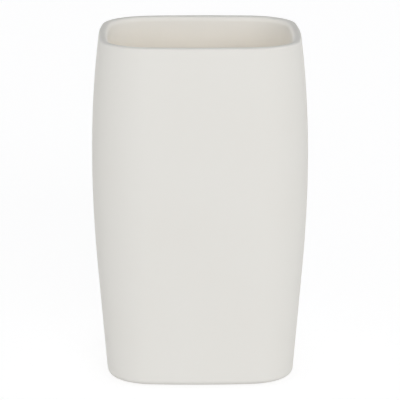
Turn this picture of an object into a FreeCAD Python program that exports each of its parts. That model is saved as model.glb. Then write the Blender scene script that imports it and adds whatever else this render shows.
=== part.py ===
"""Bathroom tumbler: an open, slip-cast ceramic beaker on four stick-on soft feet.

Seen from above the beaker is a square with bowed sides and round corners.
Seen from the side it tapers straight up from the foot, swells to its widest
level above the middle and draws in again to a rounded rim.
Millimetres and degrees. +Z is up, the origin is on the table under the middle,
and -Y is the front.
"""
import FreeCAD
import Part
import math
import os

# Driving dimensions of the cast body
HEIGHT = 110.0              # from the table to the top of the rim
BELLY_WIDTH = 69.7          # across opposite sides at the widest level
BELLY_LEVEL = 70.5          # height of the widest level
SIDE_RADIUS = 195.0         # bow of each side, seen from above, at the widest level
CORNER_RADIUS = 19.2        # round of each corner, seen from above, at the widest level
FLANK_TAPER = 4.85          # lean of the straight lower flank, from the vertical
BELLY_RADIUS = 418.0        # swell of the side between the flank and the widest level
SHOULDER_RADIUS = 314.0     # swell of the side between the widest level and the rim
WALL = 3.0                  # thickness of the wall, square to its surface
RIM_OUTER_RADIUS = 1.0      # rounding of the rim's outer edge
RIM_INNER_RADIUS = 1.7      # rounding of the rim's inner edge
FLOOR_THICKNESS = 4.0       # from the recess under the base to the floor inside
FLOOR_FILLET = 6.0          # round between the floor and the wall, inside
HEEL_FILLET = 2.0           # round between the flank and the foot ring, outside

# Driving dimensions of the foot ring and the recess inside it
FOOT_RING_WIDTH = 3.6       # flat land of the unglazed ring
FOOT_RING_EDGE = 0.5        # rounding of the ring's inner edge
RECESS_DEPTH = 1.6          # from the ring's land up to the recess's ceiling
RECESS_FILLET = 0.7         # round between the recess's side and its ceiling

# Driving dimensions of the stick-on feet
FOOT_DIAMETER = 9.0
FOOT_PROUD = 0.5            # how far the feet stand below the foot ring
FOOT_EDGE_RADIUS = 0.4      # rounding of each foot's lower edge
FOOT_CLEARANCE = 3.0        # from each foot to the side of the recess
ADHESIVE_THICKNESS = 0.2
ADHESIVE_MARGIN = 0.25      # how far the adhesive stays back from the foot's edge

# Levels and radii that follow from them
RING_LEVEL = FOOT_PROUD
CEILING_LEVEL = RING_LEVEL + RECESS_DEPTH
FLOOR_LEVEL = CEILING_LEVEL + FLOOR_THICKNESS
FOOT_TOP_LEVEL = CEILING_LEVEL - ADHESIVE_THICKNESS
FOOT_RADIUS = FOOT_DIAMETER / 2
BELLY_HALF = BELLY_WIDTH / 2
TAPER = math.radians(FLANK_TAPER)

UP = FreeCAD.Vector(0, 0, 1)
AXIS_POINT = FreeCAD.Vector(0, 0, 0)


# Outlines seen from above

def outline(half_width, side_radius, corner_radius):
    """The arcs of a square with bowed sides, anticlockwise from the +X side.

    Each arc is (centre x, centre y, radius, start angle, sweep), with angles in degrees.
    Neighbouring arcs are tangent, so an offset outline keeps every centre and angle.
    """
    reach = side_radius - half_width
    diagonal = 2 * (side_radius - corner_radius) ** 2 - reach ** 2
    corner = (math.sqrt(diagonal) - reach) / 2
    half_sweep = math.degrees(math.atan2(corner, corner + reach))
    arcs = []
    for turn in (0, 90, 180, 270):
        cos, sin = math.cos(math.radians(turn)), math.sin(math.radians(turn))
        arcs.append((-reach * cos, -reach * sin, side_radius, turn - half_sweep, 2 * half_sweep))
        x, y = corner * (cos - sin), corner * (sin + cos)
        arcs.append((x, y, corner_radius, turn + half_sweep, 90 - 2 * half_sweep))
    return arcs


def corner_centres(arcs):
    """The centres of the four corner arcs, anticlockwise from +X +Y."""
    return [(x, y) for x, y, radius, start, sweep in arcs[1::2]]


def loop(arcs, offset, level):
    """The outline moved outwards by offset, as a closed wire at one level."""
    edges = []
    for x, y, radius, start, sweep in arcs:
        centre = FreeCAD.Vector(x, y, level)
        edges.append(Part.makeCircle(radius + offset, centre, UP, start, start + sweep))
    return Part.Wire(edges)


def swept(profile, arcs):
    """The faces that a profile of (offset, level) edges makes as it goes round the outline."""
    faces = []
    for x, y, radius, start, sweep in arcs:
        edges = profile.copy()
        edges.translate(FreeCAD.Vector(radius, 0, 0))
        band = edges.revolve(AXIS_POINT, UP, sweep)
        band.rotate(AXIS_POINT, UP, start)
        band.translate(FreeCAD.Vector(x, y, 0))
        faces.extend(band.Faces)
    return faces


# Profiles seen from the side, as (offset from the outline, level)

def point(offset, level):
    return FreeCAD.Vector(offset, 0, level)


def straight(first, last):
    return Part.LineSegment(point(*first), point(*last)).toShape()


def on_circle(centre, radius, angle):
    return (centre[0] + radius * math.cos(angle), centre[1] + radius * math.sin(angle))


def arc(centre, radius, first_angle, last_angle):
    angles = (first_angle, (first_angle + last_angle) / 2, last_angle)
    points = [point(*on_circle(centre, radius, angle)) for angle in angles]
    return Part.Arc(*points).toShape()


def flank_offset(level, depth):
    """Offset of the straight flank's surface at a level, depth inside the outer surface."""
    joint = on_circle((-BELLY_RADIUS, BELLY_LEVEL), BELLY_RADIUS - depth, -TAPER)
    return joint[0] - (joint[1] - level) * math.tan(TAPER)


def wall_profile():
    """The cup's wall from the foot ring's outer edge up, over the rim and down to the floor's edge.

    Returns the wire, the offset of its outer end and the offset of its inner end.
    """
    belly = (-BELLY_RADIUS, BELLY_LEVEL)
    shoulder = (-SHOULDER_RADIUS, BELLY_LEVEL)
    inner_belly = BELLY_RADIUS - WALL
    inner_shoulder = SHOULDER_RADIUS - WALL
    largest_share = 0.9         # of the wall or corner that a round may take up

    # Heel between the foot ring and the flank, outside
    heel_top = RING_LEVEL + HEEL_FILLET * (1 - math.sin(TAPER))
    heel_x = flank_offset(heel_top, 0) - HEEL_FILLET * math.cos(TAPER)
    heel = (heel_x, RING_LEVEL + HEEL_FILLET)

    # Round between the wall and the floor inside, limited by the round of the wall's corners
    corner_inside = CORNER_RADIUS + flank_offset(FLOOR_LEVEL, WALL)
    floor_fillet = min(FLOOR_FILLET, largest_share * corner_inside)
    floor_top = FLOOR_LEVEL + floor_fillet * (1 - math.sin(TAPER))
    floor_x = flank_offset(floor_top, WALL) - floor_fillet * math.cos(TAPER)
    floor_round = (floor_x, FLOOR_LEVEL + floor_fillet)

    # Rounded edges of the rim, tangent to the shoulder and to the flat land on top, limited by the wall
    rim_share = min(1, largest_share * WALL / (RIM_OUTER_RADIUS + RIM_INNER_RADIUS))
    outer_round = RIM_OUTER_RADIUS * rim_share
    inner_round = RIM_INNER_RADIUS * rim_share
    outer_reach = SHOULDER_RADIUS - outer_round
    inner_reach = inner_shoulder + inner_round
    outer_angle = math.asin((HEIGHT - outer_round - BELLY_LEVEL) / outer_reach)
    inner_angle = math.asin((HEIGHT - inner_round - BELLY_LEVEL) / inner_reach)
    outer_rim = on_circle(shoulder, outer_reach, outer_angle)
    inner_rim = on_circle(shoulder, inner_reach, inner_angle)

    edges = [
        arc(heel, HEEL_FILLET, -math.pi / 2, -TAPER),
        straight((flank_offset(heel_top, 0), heel_top), on_circle(belly, BELLY_RADIUS, -TAPER)),
        arc(belly, BELLY_RADIUS, -TAPER, 0),
        arc(shoulder, SHOULDER_RADIUS, 0, outer_angle),
        arc(outer_rim, outer_round, outer_angle, math.pi / 2),
        straight((outer_rim[0], HEIGHT), (inner_rim[0], HEIGHT)),
        arc(inner_rim, inner_round, math.pi / 2, math.pi + inner_angle),
        arc(shoulder, inner_shoulder, inner_angle, 0),
        arc(belly, inner_belly, 0, -TAPER),
        straight(on_circle(belly, inner_belly, -TAPER), (flank_offset(floor_top, WALL), floor_top)),
        arc(floor_round, floor_fillet, -TAPER, -math.pi / 2),
    ]
    return Part.Wire(edges), heel[0], floor_round[0]


def recess_profile():
    """The recess's side, from the land of the foot ring up to its ceiling, inwards from its outline."""
    edge = (FOOT_RING_EDGE, RING_LEVEL + FOOT_RING_EDGE)
    fillet = (-RECESS_FILLET, CEILING_LEVEL - RECESS_FILLET)
    return Part.Wire([
        arc(edge, FOOT_RING_EDGE, -math.pi / 2, -math.pi),
        straight((0, edge[1]), (0, fillet[1])),
        arc(fillet, RECESS_FILLET, 0, math.pi / 2),
    ])


# The pieces

def tumbler_body(belly_arcs, recess_arcs, wall, ring_offset, floor_offset):
    """One casting: the cup, its rim, its foot ring and the shallow recess inside the ring."""
    faces = swept(wall, belly_arcs) + swept(recess_profile(), recess_arcs)
    ring_outside = loop(belly_arcs, ring_offset, RING_LEVEL)
    ring_inside = loop(recess_arcs, FOOT_RING_EDGE, RING_LEVEL)
    faces.append(Part.Face([ring_outside, ring_inside]))
    faces.append(Part.Face(loop(recess_arcs, -RECESS_FILLET, CEILING_LEVEL)))
    faces.append(Part.Face(loop(belly_arcs, floor_offset, FLOOR_LEVEL)))
    body = Part.makeSolid(Part.makeShell(faces))
    seam = 1e-6
    body.fix(seam, seam, seam)  # turns every face outwards
    return body


def nonslip_foot(x, y):
    """A moulded soft disc with a rounded lower edge, standing on the table."""
    disc = Part.makeCylinder(FOOT_RADIUS, FOOT_TOP_LEVEL, FreeCAD.Vector(x, y, 0))
    lower_edges = [edge for edge in disc.Edges if edge.BoundBox.ZMax < FOOT_EDGE_RADIUS / 2]
    return disc.makeFillet(FOOT_EDGE_RADIUS, lower_edges).Solids[0]


def adhesive_disc(x, y):
    """The film that holds a foot to the recess's ceiling."""
    place = FreeCAD.Vector(x, y, FOOT_TOP_LEVEL)
    return Part.makeCylinder(FOOT_RADIUS - ADHESIVE_MARGIN, ADHESIVE_THICKNESS, place)


wall, ring_offset, floor_offset = wall_profile()
belly_arcs = outline(BELLY_HALF, SIDE_RADIUS, CORNER_RADIUS)
recess_offset = ring_offset - FOOT_RING_WIDTH - FOOT_RING_EDGE
recess_arcs = outline(BELLY_HALF + recess_offset, SIDE_RADIUS + recess_offset, FOOT_RADIUS + FOOT_CLEARANCE)

pieces = {"tumbler_body": tumbler_body(belly_arcs, recess_arcs, wall, ring_offset, floor_offset)}
places = ("back_right", "back_left", "front_left", "front_right")
for place, (x, y) in zip(places, corner_centres(recess_arcs)):
    pieces["nonslip_foot_" + place] = nonslip_foot(x, y)
    pieces["adhesive_disc_" + place] = adhesive_disc(x, y)

os.makedirs("parts", exist_ok=True)
for name, shape in pieces.items():
    shape.exportStep("parts/" + name + ".step")
    box = shape.BoundBox
    print(name, shape.ShapeType, "valid", shape.isValid(), "volume", round(shape.Volume, 2),
          "z", round(box.ZMin, 3), round(box.ZMax, 3), "width", round(box.XLength, 3))
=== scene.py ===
# A bathroom tumbler: an off-white, matt-glazed ceramic beaker that stands on four stick-on soft feet.
# Metres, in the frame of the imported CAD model: +Z is up, the table is at z = 0 and the front faces -Y.
import math
import bmesh
import bpy
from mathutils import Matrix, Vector


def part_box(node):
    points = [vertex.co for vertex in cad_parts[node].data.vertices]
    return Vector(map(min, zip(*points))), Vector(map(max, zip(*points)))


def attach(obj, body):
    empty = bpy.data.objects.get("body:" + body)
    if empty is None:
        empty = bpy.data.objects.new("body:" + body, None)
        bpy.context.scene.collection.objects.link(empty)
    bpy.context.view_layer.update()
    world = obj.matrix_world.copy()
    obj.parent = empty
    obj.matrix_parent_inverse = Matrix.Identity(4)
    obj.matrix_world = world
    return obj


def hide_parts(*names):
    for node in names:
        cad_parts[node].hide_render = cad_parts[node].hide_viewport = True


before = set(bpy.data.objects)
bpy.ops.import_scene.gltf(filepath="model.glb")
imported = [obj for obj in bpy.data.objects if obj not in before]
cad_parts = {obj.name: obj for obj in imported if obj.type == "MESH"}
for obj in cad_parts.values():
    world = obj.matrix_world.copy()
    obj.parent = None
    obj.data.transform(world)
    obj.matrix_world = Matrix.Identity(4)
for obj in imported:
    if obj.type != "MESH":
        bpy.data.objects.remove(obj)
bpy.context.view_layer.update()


# Tumbler body
# One slip-cast stoneware beaker with a 3 mm wall, square from above with bowed sides and round corners.
# The inside was filled with matt white glaze and poured out. It is painted lighter and creamier than the
# outside:
#  painted light for the light that bounces round inside it.
# Then the outside was dipped, and the ring that it stood on in the kiln was wiped bare.

MM = 0.001
BELLY_LEVEL = 70.5 * MM       # the widest level
SIDE_RADIUS = 195 * MM        # bow of each side, seen from above
CORNER_RADIUS = 19.2 * MM     # round of each corner, seen from above, at the widest level
TAPER = math.radians(4.85)    # lean of the straight lower flank
BELLY_RADIUS = 418 * MM       # swell of the side below the widest level
SHOULDER_RADIUS = 314 * MM    # swell of the side above it
WALL = 3 * MM
RIM_OUTSIDE = 1.0 * MM        # rounding of the rim's outer edge
RIM_INSIDE = 1.7 * MM         # and of its inner edge
HEEL = 2 * MM                 # round between the flank and the foot ring
FLOOR_ROUND = 6 * MM          # round between the wall and the floor, inside
FLOOR_THICKNESS = 4 * MM
RING_WIDTH = 3.6 * MM         # flat land of the foot ring
RING_EDGE = 0.5 * MM          # rounding of its inner edge
RECESS_DEPTH = 1.6 * MM
RECESS_ROUND = 0.7 * MM       # round between the recess's side and its ceiling
FOOT_CLEARANCE = 3 * MM       # from a foot to the side of the recess
STRIP = 0.4 * MM              # band of a flat face beside each round, so that the rest shades flat
LEVEL_MARGIN = 0.1 * MM       # how near its level the edge of a flat face is looked for
WELD = 0.01 * MM              # points nearer than this become one
WARP = 0.06 * MM              # unevenness of a cast wall after firing
WARP_LENGTH = 30 * MM
BARE_BAND = 0.05 * MM         # height over the land up to which the foot ring was wiped
RIM_SHADE_BAND = 0.6 * MM          # top of the rim, painted greyer as shade, since it faces up and gets less light
INSIDE_LIGHT_DEPTH = 10 * MM          # from the rim down to where the painted light inside is at full strength

body_low, body_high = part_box("tumbler_body")
foot_low, foot_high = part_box("nonslip_foot_back_right")
RING_LEVEL = body_low.z
RIM_LEVEL = body_high.z
BELLY_HALF = (body_high.x - body_low.x) / 2
CEILING_LEVEL = RING_LEVEL + RECESS_DEPTH
FLOOR_LEVEL = CEILING_LEVEL + FLOOR_THICKNESS
FOOT_RADIUS = (foot_high.x - foot_low.x) / 2
QUARTER = math.pi / 2


def on_circle(centre, radius, angle):
    """A point on a circle."""
    return (centre[0] + radius * math.cos(angle), centre[1] + radius * math.sin(angle))


def bend(centre, radius, first, last, steps):
    """Points along an arc, both ends included."""
    return [on_circle(centre, radius, first + (last - first) * i / steps) for i in range(steps + 1)]


def between(first, last, steps):
    """Points on a straight line, both ends left out."""
    shares = [i / steps for i in range(1, steps)]
    return [(first[0] + (last[0] - first[0]) * s, first[1] + (last[1] - first[1]) * s) for s in shares]


def outline(half_width, side_radius, corner_radius):
    """A square with bowed sides and round corners, seen from above, as a closed row of points."""
    reach = side_radius - half_width
    corner = (math.sqrt(2 * (side_radius - corner_radius) ** 2 - reach ** 2) - reach) / 2
    sweep = math.atan2(corner, corner + reach)
    points = []
    for turn in (0, QUARTER, 2 * QUARTER, 3 * QUARTER):
        side_centre = on_circle((0, 0), -reach, turn)
        corner_centre = on_circle((0, 0), corner * math.sqrt(2), turn + QUARTER / 2)
        points += bend(side_centre, side_radius, turn - sweep, turn + sweep, steps=40)[:-1]
        points += bend(corner_centre, corner_radius, turn + sweep, turn + QUARTER - sweep, steps=26)[:-1]
    return points


def flank(level, depth):
    """The straight flank at a level and a depth in the wall, as (offset from the outline, level)."""
    top = on_circle((-BELLY_RADIUS, BELLY_LEVEL), BELLY_RADIUS - depth, -TAPER)
    return (top[0] - (top[1] - level) * math.tan(TAPER), level)


def wall_profile():
    """The wall from the foot ring up, over the rim and down to the floor, as (offset, level) points."""
    belly_centre = (-BELLY_RADIUS, BELLY_LEVEL)
    shoulder_centre = (-SHOULDER_RADIUS, BELLY_LEVEL)
    floor_top = flank(FLOOR_LEVEL + FLOOR_ROUND * (1 - math.sin(TAPER)), WALL)
    floor_centre = (floor_top[0] - FLOOR_ROUND * math.cos(TAPER), FLOOR_LEVEL + FLOOR_ROUND)
    outside = bend(belly_centre, BELLY_RADIUS, -TAPER, 0, steps=12)
    inside = bend(belly_centre, BELLY_RADIUS - WALL, 0, -TAPER, steps=12)

    # The rim's two rounds touch the shoulder at these angles
    outer_reach = SHOULDER_RADIUS - RIM_OUTSIDE
    inner_reach = SHOULDER_RADIUS - WALL + RIM_INSIDE
    outer = math.asin((RIM_LEVEL - RIM_OUTSIDE - BELLY_LEVEL) / outer_reach)
    inner = math.asin((RIM_LEVEL - RIM_INSIDE - BELLY_LEVEL) / inner_reach)
    outer_centre = on_circle(shoulder_centre, outer_reach, outer)
    inner_centre = on_circle(shoulder_centre, inner_reach, inner)
    return (
        [(heel_centre[0] - STRIP, RING_LEVEL)]
        + bend(heel_centre, HEEL, -QUARTER, -TAPER, steps=12)
        + between(heel_top, outside[0], steps=12)
        + outside[:-1]
        + bend(shoulder_centre, SHOULDER_RADIUS, 0, outer, steps=16)[:-1]
        + bend(outer_centre, RIM_OUTSIDE, outer, QUARTER, steps=8)
        + bend(inner_centre, RIM_INSIDE, QUARTER, 2 * QUARTER + inner, steps=10)
        + bend(shoulder_centre, SHOULDER_RADIUS - WALL, inner, 0, steps=16)[1:-1]
        + inside
        + between(inside[-1], floor_top, steps=10)
        + bend(floor_centre, FLOOR_ROUND, -TAPER, -QUARTER, steps=12)
        + [(floor_centre[0] - STRIP, FLOOR_LEVEL)]
    )


def recess_profile():
    """The side of the recess under the base, from the foot ring's land up to its ceiling."""
    edge_centre = (RING_EDGE, RING_LEVEL + RING_EDGE)
    round_centre = (-RECESS_ROUND, CEILING_LEVEL - RECESS_ROUND)
    return (
        [(RING_EDGE + STRIP, RING_LEVEL)]
        + bend(edge_centre, RING_EDGE, -QUARTER, -2 * QUARTER, steps=6)
        + bend(round_centre, RECESS_ROUND, 0, QUARTER, steps=8)
        + [(-RECESS_ROUND - STRIP, CEILING_LEVEL)]
    )


def guide(name, points, closed):
    """A row of points as a mesh of edges only, for a node tree to follow."""
    count = len(points)
    edges = [(i, (i + 1) % count) for i in range(count if closed else count - 1)]
    up = 1 if closed else -1    # a sweep along an outline turns the profile's -Y up
    mesh = bpy.data.meshes.new(name)
    mesh.from_pydata([(x, y * up, 0) for x, y in points], edges, [])
    made = bpy.data.objects.new(name, mesh)
    bpy.context.scene.collection.objects.link(made)
    return made


heel_top = flank(RING_LEVEL + HEEL * (1 - math.sin(TAPER)), 0)
heel_centre = (heel_top[0] - HEEL * math.cos(TAPER), RING_LEVEL + HEEL)
inset = heel_centre[0] - RING_WIDTH - RING_EDGE
recess_outline = outline(BELLY_HALF + inset, SIDE_RADIUS + inset, FOOT_RADIUS + FOOT_CLEARANCE)
guides = {
    "Body outline": guide("body_outline", outline(BELLY_HALF, SIDE_RADIUS, CORNER_RADIUS), True),
    "Wall profile": guide("wall_profile", wall_profile(), False),
    "Recess outline": guide("recess_outline", recess_outline, True),
    "Recess profile": guide("recess_profile", recess_profile(), False),
}


def node(tree, kind, inputs=None, **settings):
    """Adds a node with its settings. Each input is a value, or a socket that is linked to it."""
    made = tree.nodes.new(kind)
    for name, value in settings.items():
        setattr(made, name, value)
    for name, value in (inputs or {}).items():
        if isinstance(value, bpy.types.NodeSocket):
            tree.links.new(value, made.inputs[name])
        else:
            made.inputs[name].default_value = value
    return made


def started_tree(title, inputs):
    """A geometry node tree with named inputs, which are listed by kind, and the sockets that give them."""
    tree = bpy.data.node_groups.new(title, "GeometryNodeTree")
    tree.interface.new_socket("Geometry", in_out="OUTPUT", socket_type="NodeSocketGeometry")
    for kind, names in inputs.items():
        for name in names:
            tree.interface.new_socket(name, in_out="INPUT", socket_type="NodeSocket" + kind)
    return tree, node(tree, "NodeGroupInput").outputs


def cast_beaker_tree():
    """Sweeps the wall round the body's outline and the recess round its own, and closes the flat faces."""
    levels = ("Ring level", "Ceiling level", "Floor level")
    tree, given = started_tree("cast beaker", {
        "Object": guides,
        "Float": levels + ("Belly level", "Bare band", "Warp", "Warp length"),
        "Material": ("Glaze", "Bare clay"),
    })

    # The two swept walls
    walls = node(tree, "GeometryNodeJoinGeometry")
    for path, profile in ("Body outline", "Wall profile"), ("Recess outline", "Recess profile"):
        rows = []
        for name in path, profile:
            drawn = node(tree, "GeometryNodeObjectInfo", {"Object": given[name]})
            row = node(tree, "GeometryNodeMeshToCurve", {"Mesh": drawn.outputs["Geometry"]})
            rows.append(row.outputs[0])
        upright = node(tree, "GeometryNodeSetCurveNormal", {"Curve": rows[0]}, mode="Z_UP")
        skin = node(tree, "GeometryNodeCurveToMesh", {
            "Curve": upright.outputs[0], "Profile Curve": rows[1]})
        tree.links.new(skin.outputs[0], walls.inputs[0])

    # The flat faces between their open edges, which have one face beside them
    place = node(tree, "GeometryNodeInputPosition").outputs[0]
    height = node(tree, "ShaderNodeSeparateXYZ", {0: place}).outputs["Z"]
    beside = node(tree, "GeometryNodeInputMeshEdgeNeighbors").outputs[0]
    open_edge = node(tree, "FunctionNodeCompare", {2: beside, 3: 1}, data_type="INT", operation="EQUAL")
    whole = node(tree, "GeometryNodeJoinGeometry")
    tree.links.new(walls.outputs[0], whole.inputs[0])
    for name in levels:
        at_level = node(tree, "FunctionNodeCompare", {
            "A": height, "B": given[name], "Epsilon": LEVEL_MARGIN}, operation="EQUAL")
        chosen = node(tree, "FunctionNodeBooleanMath", {0: open_edge.outputs[0], 1: at_level.outputs[0]})
        edge = node(tree, "GeometryNodeMeshToCurve", {
            "Mesh": walls.outputs[0], "Selection": chosen.outputs[0]})
        face = node(tree, "GeometryNodeFillCurve", {"Curve": edge.outputs[0]})
        lift = node(tree, "ShaderNodeCombineXYZ", {"Z": given[name]})
        lifted = node(tree, "GeometryNodeSetPosition", {
            "Geometry": face.outputs[0], "Offset": lift.outputs[0]})
        tree.links.new(lifted.outputs[0], whole.inputs[0])
    welded = node(tree, "GeometryNodeMergeByDistance", {"Geometry": whole.outputs[0], "Distance": WELD})

    # A slight unevenness that fades out towards the base
    wave = node(tree, "ShaderNodeMath", {0: 1.0, 1: given["Warp length"]}, operation="DIVIDE")
    cloud = node(tree, "ShaderNodeTexNoise", {"Scale": wave.outputs[0], "Detail": 1.0})
    noise_middle = (0.5, 0.5, 0.5)
    uneven = node(tree, "ShaderNodeVectorMath", {
        0: cloud.outputs["Color"], 1: noise_middle}, operation="SUBTRACT")
    fade = node(tree, "ShaderNodeMapRange", {
        "Value": height, "From Min": given["Floor level"], "From Max": given["Belly level"],
        "To Max": given["Warp"]})
    drift = node(tree, "ShaderNodeVectorMath", {
        0: uneven.outputs[0], "Scale": fade.outputs[0]}, operation="SCALE")
    warped = node(tree, "GeometryNodeSetPosition", {
        "Geometry": welded.outputs[0], "Offset": drift.outputs[0]})

    # Smooth shading, glaze all over and bare clay on the wiped ring
    smooth = node(tree, "GeometryNodeSetShadeSmooth", {"Geometry": warped.outputs[0]})
    real = node(tree, "GeometryNodeRealizeInstances", {"Geometry": smooth.outputs[0]})
    glazed = node(tree, "GeometryNodeSetMaterial", {
        "Geometry": real.outputs[0], "Material": given["Glaze"]})
    limit = node(tree, "ShaderNodeMath", {0: given["Ring level"], 1: given["Bare band"]}, operation="ADD")
    wiped = node(tree, "FunctionNodeCompare", {"A": height, "B": limit.outputs[0]}, operation="LESS_THAN")
    bared = node(tree, "GeometryNodeSetMaterial", {
        "Geometry": glazed.outputs[0], "Selection": wiped.outputs[0], "Material": given["Bare clay"]})
    node(tree, "NodeGroupOutput", {0: bared.outputs[0]})
    return tree


def finished(name, tree, values):
    """Runs a node tree with its input values and keeps the result as a plain closed mesh."""
    piece = bpy.data.objects.new(name, bpy.data.meshes.new(name))
    bpy.context.scene.collection.objects.link(piece)
    modifier = piece.modifiers.new(tree.name, "NODES")
    modifier.node_group = tree
    for socket in tree.interface.items_tree:
        if socket.in_out == "INPUT":
            modifier[socket.identifier] = values[socket.name]
    mesh = bpy.data.meshes.new_from_object(piece.evaluated_get(bpy.context.evaluated_depsgraph_get()))
    piece.modifiers.clear()
    if mesh.materials[0] is None:    # a filled face brings an empty slot along
        mesh.materials.pop(index=0)
    closed = bmesh.new()
    closed.from_mesh(mesh)
    bmesh.ops.recalc_face_normals(closed, faces=closed.faces)
    closed.to_mesh(mesh)
    closed.free()
    piece.data = mesh
    return piece


def linear(code):
    """The linear colour of an sRGB hex code, with alpha 1."""
    shares = [int(code[i:i + 2], 16) / 255 for i in (1, 3, 5)]
    return [s / 12.92 if s <= 0.04045 else ((s + 0.055) / 1.055) ** 2.4 for s in shares] + [1.0]


def empty_material(name):
    """A new material, and its node tree with nothing in it."""
    material = bpy.data.materials.new(name)
    material.use_nodes = True
    material.node_tree.nodes.clear()
    return material, material.node_tree


MIX_A = 6    # a Mix node's inputs for colours, by number because other inputs share their names
MIX_B = 7
MIXED = 2    # and its output


def matt_white_glaze(name, inside_light_tone=None):
    """Matt white stoneware glaze, fired: opaque off-white with a soft sheen and no clear highlight.
    It is faintly cloudy where the coat is uneven and dry to the eye from its fine crystals. The top of the
    rim
    is painted greyer: painted shade, since that face looks up and gets less light than the sides.
    With an inside light tone it goes over to that colour below the rim: painted light, lighter and
    creamier, for the light that bounces round inside."""
    glaze, tree = empty_material(name)
    place = node(tree, "ShaderNodeTexCoord").outputs["Object"]
    level = node(tree, "ShaderNodeSeparateXYZ", {0: place}).outputs["Z"]
    cloud_size = 26 * MM
    peel_size = 3.5 * MM      # the faint waviness of a dipped coat
    peel_depth = 0.012 * MM
    grain_size = 0.9 * MM     # the crystals are about 0.1 mm, too fine to show, so they are drawn larger
    grain_depth = 0.006 * MM
    cloud = node(tree, "ShaderNodeTexNoise", {"Vector": place, "Scale": 1 / cloud_size, "Detail": 3.0})
    peel = node(tree, "ShaderNodeTexNoise", {"Vector": place, "Scale": 1 / peel_size, "Detail": 1.0})
    grain = node(tree, "ShaderNodeTexNoise", {"Vector": place, "Scale": 1 / grain_size, "Detail": 4.0})
    tone = node(tree, "ShaderNodeMix", {
        "Factor": cloud.outputs[0], MIX_A: linear("#EFEDE7"), MIX_B: linear("#EDEAE3")}, data_type="RGBA")
    # Painted shade: the top of the rim is painted greyer, as a face that looks up gets less light
    rim_shade = node(tree, "ShaderNodeMapRange", {
        "Value": level, "From Min": RIM_LEVEL - RIM_SHADE_BAND, "From Max": RIM_LEVEL})
    tone = node(tree, "ShaderNodeMix", {
        "Factor": rim_shade.outputs[0], MIX_A: tone.outputs[MIXED], MIX_B: linear("#DCDAD4")},
        data_type="RGBA")
    # Painted light: below the rim the inside goes over to a lighter, creamier tone, for the light that
    # bounces round inside
    if inside_light_tone:
        inside_light = node(tree, "ShaderNodeMapRange", {
            "Value": level, "From Min": RIM_LEVEL, "From Max": RIM_LEVEL - INSIDE_LIGHT_DEPTH})
        tone = node(tree, "ShaderNodeMix", {
            "Factor": inside_light.outputs[0], MIX_A: tone.outputs[MIXED], MIX_B: linear(inside_light_tone)},
            data_type="RGBA")
    rough = node(tree, "ShaderNodeMapRange", {"Value": grain.outputs[0], "To Min": 0.56, "To Max": 0.66})
    wavy = node(tree, "ShaderNodeBump", {
        "Height": peel.outputs[0], "Strength": 1.0, "Distance": peel_depth})
    dry = node(tree, "ShaderNodeBump", {
        "Height": grain.outputs[0], "Strength": 1.0, "Distance": grain_depth, "Normal": wavy.outputs[0]})
    shader = node(tree, "ShaderNodeBsdfPrincipled", {
        "Base Color": tone.outputs[MIXED],
        "Roughness": rough.outputs[0],
        "Normal": dry.outputs[0],
        "IOR": 1.5,
        "Specular IOR Level": 0.08,
    })
    node(tree, "ShaderNodeOutputMaterial", {"Surface": shader.outputs[0]})
    return glaze


def bare_stoneware():
    """Fired stoneware that was wiped free of glaze: a warm grey-white biscuit, dry and slightly gritty."""
    clay, tree = empty_material("bare_stoneware")
    place = node(tree, "ShaderNodeTexCoord").outputs["Object"]
    grit_size = 0.5 * MM
    grit_depth = 0.04 * MM
    grit = node(tree, "ShaderNodeTexNoise", {"Vector": place, "Scale": 1 / grit_size, "Detail": 5.0})
    tone = node(tree, "ShaderNodeMix", {
        "Factor": grit.outputs[0], MIX_A: linear("#D8D0C2"), MIX_B: linear("#BFB4A2")}, data_type="RGBA")
    gritty = node(tree, "ShaderNodeBump", {
        "Height": grit.outputs[0], "Strength": 1.0, "Distance": grit_depth})
    shader = node(tree, "ShaderNodeBsdfPrincipled", {
        "Base Color": tone.outputs[MIXED], "Roughness": 0.9, "Normal": gritty.outputs[0]})
    node(tree, "ShaderNodeOutputMaterial", {"Surface": shader.outputs[0]})
    return clay


body = finished("tumbler_casting", cast_beaker_tree(), {
    **guides,
    "Ring level": RING_LEVEL,
    "Ceiling level": CEILING_LEVEL,
    "Floor level": FLOOR_LEVEL,
    "Belly level": BELLY_LEVEL,
    "Bare band": BARE_BAND,
    "Warp": WARP,
    "Warp length": WARP_LENGTH,
    "Glaze": matt_white_glaze("dipped_white_glaze"),
    "Bare clay": bare_stoneware(),
})
for drawn in guides.values():
    bpy.data.objects.remove(drawn)

# The glaze with painted light, lighter and creamier, on the faces that look at the middle and on the floor
body.data.materials.append(matt_white_glaze("white_glaze_painted_light_inside", "#F9F3E8"))
lit_inside = len(body.data.materials) - 1
facing = 0.5    # a face looks a way when the cosine between the two is more than this
for face in body.data.polygons:
    outwards = Vector((face.center.x, face.center.y, 0)).normalized()
    looks_inwards = face.normal.dot(outwards) < -facing
    on_floor = face.normal.z > facing and face.center.z < BELLY_LEVEL
    if face.center.z > CEILING_LEVEL and (looks_inwards or on_floor):
        face.material_index = lit_inside
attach(body, "root")
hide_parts("tumbler_body")


# Adhesive discs
# Four discs of clear acrylic film, die-cut a little smaller than the feet.
# Each is pressed onto the ceiling of the recess, near a corner, and holds one foot to the body.

PLACES = ("front_left", "front_right", "back_left", "back_right")


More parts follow.
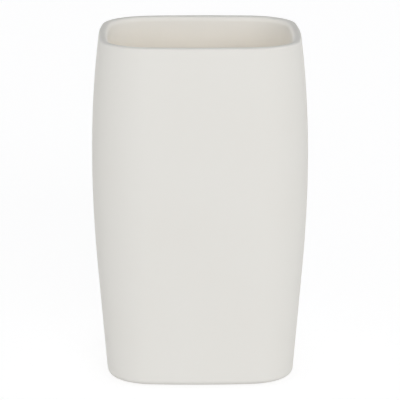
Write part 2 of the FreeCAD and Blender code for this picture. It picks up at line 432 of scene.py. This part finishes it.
def acrylic_adhesive():
    """Pressure-sensitive acrylic film: pale and slightly yellow, glossy where it shows at the edge of a
    foot, with faint streaks from the roller that coated it."""
    film, tree = empty_material("acrylic_adhesive")
    place = node(tree, "ShaderNodeTexCoord").outputs["Object"]
    streak_width = 1.2 * MM
    streak_length = 12 * MM
    along = node(tree, "ShaderNodeMapping", {
        "Vector": place, "Scale": (1.0, streak_width / streak_length, 1.0)})
    streak = node(tree, "ShaderNodeTexNoise", {
        "Vector": along.outputs[0], "Scale": 1 / streak_width, "Detail": 2.0})
    tone = node(tree, "ShaderNodeMix", {
        "Factor": streak.outputs[0], MIX_A: linear("#E4E0CF"), MIX_B: linear("#D6D1BC")}, data_type="RGBA")
    rough = node(tree, "ShaderNodeMapRange", {"Value": streak.outputs[0], "To Min": 0.25, "To Max": 0.4})
    shader = node(tree, "ShaderNodeBsdfPrincipled", {
        "Base Color": tone.outputs[MIXED], "Roughness": rough.outputs[0], "IOR": 1.47})
    node(tree, "ShaderNodeOutputMaterial", {"Surface": shader.outputs[0]})
    return film


film = acrylic_adhesive()
for place in PLACES:
    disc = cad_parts["adhesive_disc_" + place]
    disc.material_slots[0].material = film


# Stick-on feet
# Four discs of soft milky silicone, moulded with a rounded lower edge and a shallow dish underneath.
# Each is pressed onto its adhesive in a corner of the recess, and they lift the ring off the table.

FOOT_SIDES = 72
FOOT_EDGE = 0.4 * MM      # rounding of the lower edge
FOOT_TOP_EDGE = 0.1 * MM
FOOT_LAND = 1.1 * MM      # width of the flat land round the dish
DISH_DEPTH = 0.12 * MM
DISH_SLOPE = 0.6 * MM     # width of the slope between the land and the flat of the dish


def foot_profile(height):
    """A foot from the middle of its top, down its side and under it to the middle of the dish."""
    land_inside = -FOOT_EDGE - FOOT_LAND
    dish_inside = land_inside - DISH_SLOPE
    return (
        [(-FOOT_RADIUS, height), (-FOOT_TOP_EDGE - STRIP, height)]
        + bend((-FOOT_TOP_EDGE, height - FOOT_TOP_EDGE), FOOT_TOP_EDGE, QUARTER, 0, steps=4)
        + bend((-FOOT_EDGE, FOOT_EDGE), FOOT_EDGE, 0, -QUARTER, steps=8)
        + [(land_inside, 0)]
        + between((land_inside, 0), (dish_inside, DISH_DEPTH), steps=3)
        + [(dish_inside, DISH_DEPTH), (-FOOT_RADIUS, DISH_DEPTH)]
    )


def moulded_foot_tree():
    """Sweeps a foot's profile round its edge and puts the foot at its place."""
    tree, given = started_tree("moulded foot", {
        "Float": ["Radius"],
        "Int": ["Sides"],
        "Object": ["Profile"],
        "Vector": ["Place"],
        "Material": ["Rubber"],
    })
    ring = node(tree, "GeometryNodeCurvePrimitiveCircle", {
        "Radius": given["Radius"], "Resolution": given["Sides"]})
    upright = node(tree, "GeometryNodeSetCurveNormal", {"Curve": ring.outputs[0]}, mode="Z_UP")
    drawn = node(tree, "GeometryNodeObjectInfo", {"Object": given["Profile"]})
    profile = node(tree, "GeometryNodeMeshToCurve", {"Mesh": drawn.outputs["Geometry"]})
    skin = node(tree, "GeometryNodeCurveToMesh", {
        "Curve": upright.outputs[0], "Profile Curve": profile.outputs[0]})
    welded = node(tree, "GeometryNodeMergeByDistance", {"Geometry": skin.outputs[0], "Distance": WELD})
    placed = node(tree, "GeometryNodeSetPosition", {
        "Geometry": welded.outputs[0], "Offset": given["Place"]})
    smooth = node(tree, "GeometryNodeSetShadeSmooth", {"Geometry": placed.outputs[0]})
    real = node(tree, "GeometryNodeRealizeInstances", {"Geometry": smooth.outputs[0]})
    coloured = node(tree, "GeometryNodeSetMaterial", {
        "Geometry": real.outputs[0], "Material": given["Rubber"]})
    node(tree, "NodeGroupOutput", {0: coloured.outputs[0]})
    return tree


def milky_silicone():
    """Soft silicone rubber, injection moulded: milky white, a satin skin with the mould's fine blasted
    grain, and a little light that wanders inside it."""
    rubber, tree = empty_material("milky_silicone")
    place = node(tree, "ShaderNodeTexCoord").outputs["Object"]
    cloud_size = 4 * MM
    grain_size = 0.25 * MM
    grain_depth = 0.01 * MM
    cloud = node(tree, "ShaderNodeTexNoise", {"Vector": place, "Scale": 1 / cloud_size, "Detail": 2.0})
    grain = node(tree, "ShaderNodeTexNoise", {"Vector": place, "Scale": 1 / grain_size, "Detail": 3.0})
    tone = node(tree, "ShaderNodeMix", {
        "Factor": cloud.outputs[0], MIX_A: linear("#D2D1CB"), MIX_B: linear("#C6C5BE")}, data_type="RGBA")
    rough = node(tree, "ShaderNodeMapRange", {"Value": grain.outputs[0], "To Min": 0.4, "To Max": 0.55})
    blasted = node(tree, "ShaderNodeBump", {
        "Height": grain.outputs[0], "Strength": 1.0, "Distance": grain_depth})
    shader = node(tree, "ShaderNodeBsdfPrincipled", {
        "Base Color": tone.outputs[MIXED],
        "Roughness": rough.outputs[0],
        "Normal": blasted.outputs[0],
        "IOR": 1.41,
        "Subsurface Weight": 0.25,
        "Subsurface Radius": (1.0, 0.95, 0.9),
        "Subsurface Scale": 0.8 * MM,
    })
    node(tree, "ShaderNodeOutputMaterial", {"Surface": shader.outputs[0]})
    return rubber


foot_line = guide("foot_profile", foot_profile(foot_high.z), False)
foot_tree = moulded_foot_tree()
silicone = milky_silicone()
for place in PLACES:
    low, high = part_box("nonslip_foot_" + place)
    foot = finished("foot_" + place, foot_tree, {
        "Radius": FOOT_RADIUS,
        "Sides": FOOT_SIDES,
        "Profile": foot_line,
        "Place": ((low.x + high.x) / 2, (low.y + high.y) / 2, 0.0),
        "Rubber": silicone,
    })
    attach(foot, "root")
    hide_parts("nonslip_foot_" + place)
bpy.data.objects.remove(foot_line)


# Floor, light and camera
# The floor is a sheet of white paper that runs out of sight. A bright band of wall all round and a soft
# light overhead reach every side, and one large soft lamp stands in front, a little to the right.
# The camera has a long lens and looks slightly down.

PAPER_SIZE = 6.0
PAPER_UPLIGHT = 0.5               # the paper glows and lights the object from below, unshadowed, like a light table rather than a bounce
PAPER_GLOW = 0.8                 # brings the paper up to white where the camera sees it
PAPER_SHADE = "#959595"          # takes the light on the paper, so that a faint shadow shows in its white
DAYLIGHT = (0.97, 0.98, 1.0)     # slightly cool white
WALL_BAND = ((4, 0), (18, 3.43), (32, 0))    # elevation in degrees, and strength of the light from there
OVERHEAD = ((78, 0), (90, 7))                # the same for the light overhead
WALL_BEHIND = 0.8                # share of the wall's light straight behind the object
LAMP_POWER = 18.2
LAMP_SIZE = 1.2
LAMP_DISTANCE = 3.0
LAMP_TURN = math.radians(12)
LAMP_ELEVATION = math.radians(16)
CAMERA_DISTANCE = 0.88
CAMERA_TURN = math.radians(-0.73)
CAMERA_ELEVATION = math.radians(13.15)
LENS = 243.4
SENSOR = 36.0
AIM_RIGHT = 0.07 * MM            # the picture's middle is this far to the right of the tumbler's
AIM_BELOW = 0.65 * MM            # and this far below it


def seen(tree):
    """1 for what the camera sees, directly, in a gloss or through glass, and 0 for light on a surface."""
    ray = node(tree, "ShaderNodeLightPath").outputs
    gloss = node(tree, "ShaderNodeMath", {
        0: ray["Is Camera Ray"], 1: ray["Is Glossy Ray"]}, operation="MAXIMUM")
    return node(tree, "ShaderNodeMath", {
        0: gloss.outputs[0], 1: ray["Is Transmission Ray"]}, operation="MAXIMUM").outputs[0]


def white_paper():
    """Matt white paper that glows to light the object from below, unshadowed like a light table rather than
    a bounce, and shows as white, apart from a faint shadow.
    """
    paper, tree = empty_material("white_paper")
    # Painted light: the paper glows for the light that reaches the object, instead of bouncing the lamps'
    # light
    uplight = node(tree, "ShaderNodeEmission", {"Strength": PAPER_UPLIGHT})
    shade = node(tree, "ShaderNodeBsdfDiffuse", {"Color": linear(PAPER_SHADE)})
    glow = node(tree, "ShaderNodeEmission", {"Strength": PAPER_GLOW})
    white = node(tree, "ShaderNodeAddShader", {0: shade.outputs[0], 1: glow.outputs[0]})
    either = node(tree, "ShaderNodeMixShader", {
        0: seen(tree), 1: uplight.outputs[0], 2: white.outputs[0]})
    node(tree, "ShaderNodeOutputMaterial", {"Surface": either.outputs[0]})
    return paper


def bright_room():
    """Surroundings that show as white, and light the object from a band of wall and from overhead."""
    world = bpy.data.worlds.new("bright_room")
    world.use_nodes = True
    tree = world.node_tree
    tree.nodes.clear()
    way = node(tree, "ShaderNodeSeparateXYZ", {0: node(tree, "ShaderNodeTexCoord").outputs["Generated"]})
    ramp = node(tree, "ShaderNodeValToRGB", {0: way.outputs["Z"]})
    stops = ramp.color_ramp.elements
    lights = WALL_BAND + OVERHEAD
    while len(stops) < len(lights):
        stops.new(1)
    for stop, (elevation, strength) in zip(stops, lights):
        stop.position = math.sin(math.radians(elevation))
        stop.color = (strength, strength, strength, 1)
    behind = node(tree, "ShaderNodeMapRange", {
        "Value": way.outputs["Y"], "To Min": 1.0, "To Max": WALL_BEHIND})
    level = node(tree, "ShaderNodeMath", {
        0: ramp.outputs[0], 1: behind.outputs[0]}, operation="MULTIPLY")
    around = node(tree, "ShaderNodeBackground", {"Color": (*DAYLIGHT, 1), "Strength": level.outputs[0]})
    white = node(tree, "ShaderNodeBackground", {"Color": (1, 1, 1, 1), "Strength": 1.0})
    either = node(tree, "ShaderNodeMixShader", {
        0: seen(tree), 1: around.outputs[0], 2: white.outputs[0]})
    node(tree, "ShaderNodeOutputWorld", {"Surface": either.outputs[0]})
    return world


def standing_off(target, distance, turn, elevation):
    """A place at a distance from the target, turned to the right of the front and raised, and the
    rotation that looks at the target from there."""
    across = math.cos(elevation)
    way = Vector((math.sin(turn) * across, -math.cos(turn) * across, math.sin(elevation)))
    return target + way * distance, way.to_track_quat("Z", "Y").to_euler()


half = PAPER_SIZE / 2
corners = [(-half, -half, 0), (half, -half, 0), (half, half, 0), (-half, half, 0)]
mesh = bpy.data.meshes.new("paper")
mesh.from_pydata(corners, [], [(0, 1, 2, 3)])
mesh.materials.append(white_paper())
paper = bpy.data.objects.new("paper", mesh)
bpy.context.scene.collection.objects.link(paper)
bpy.context.scene.world = bright_room()

lamp = bpy.data.lights.new("soft_lamp", "AREA")
lamp.size = LAMP_SIZE
lamp.energy = LAMP_POWER
lamp.color = DAYLIGHT
camera = bpy.data.cameras.new("camera")
camera.lens = LENS
camera.sensor_width = SENSOR
aim = Vector((AIM_RIGHT, 0, RIM_LEVEL / 2 - AIM_BELOW))
for name, data, place in (
        ("soft_lamp", lamp, standing_off(aim, LAMP_DISTANCE, LAMP_TURN, LAMP_ELEVATION)),
        ("camera", camera, standing_off(aim, CAMERA_DISTANCE, CAMERA_TURN, CAMERA_ELEVATION))):
    made = bpy.data.objects.new(name, data)
    made.location, made.rotation_euler = place
    bpy.context.scene.collection.objects.link(made)
bpy.context.scene.camera = bpy.data.objects["camera"]
bpy.context.scene.view_settings.view_transform = "Standard"
